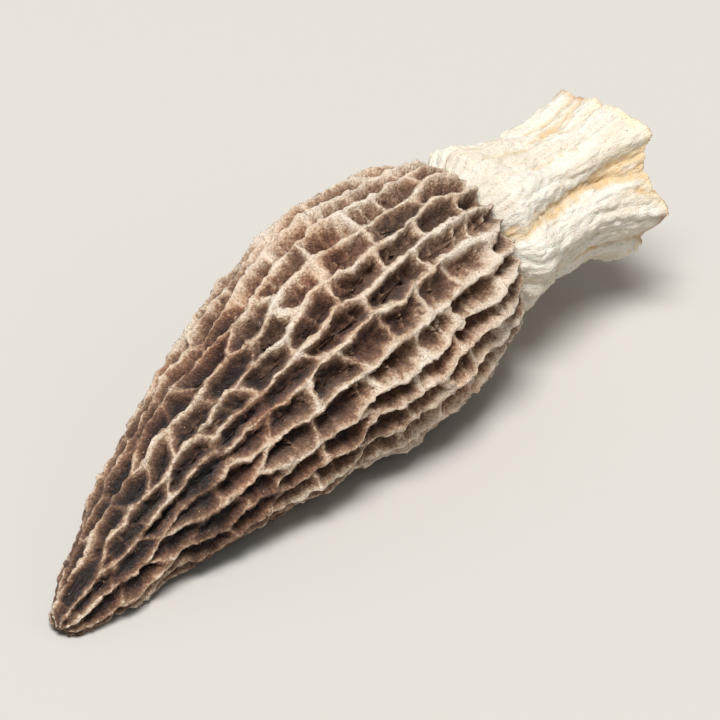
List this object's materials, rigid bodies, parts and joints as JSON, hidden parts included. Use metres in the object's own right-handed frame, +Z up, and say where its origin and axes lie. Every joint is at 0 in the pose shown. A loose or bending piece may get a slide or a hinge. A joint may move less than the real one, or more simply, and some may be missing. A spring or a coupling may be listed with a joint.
{
  "type": "dried morel mushroom",
  "caption": "Dried black morel lying on its side: a pointed cap under a raised net of ribs over deep pits, on a short wrinkled hollow stem with a ragged cut end.",
  "frame": {"origin": "middle of the bounding box's bottom face, on the surface the mushroom lies on", "axes": "+X along the body from the tip of the cap to the cut end of the stem, +Z up"},
  "size_m": [0.0564, 0.0178, 0.0173],
  "materials": {
    "dried_flesh": "matt, dry and finely wrinkled: near-black pits and dusty brown ribs on the cap, ivory on the stem"
  },
  "bodies": {
    "root": {"morel": "dried_flesh"}
  },
  "joints": []
}
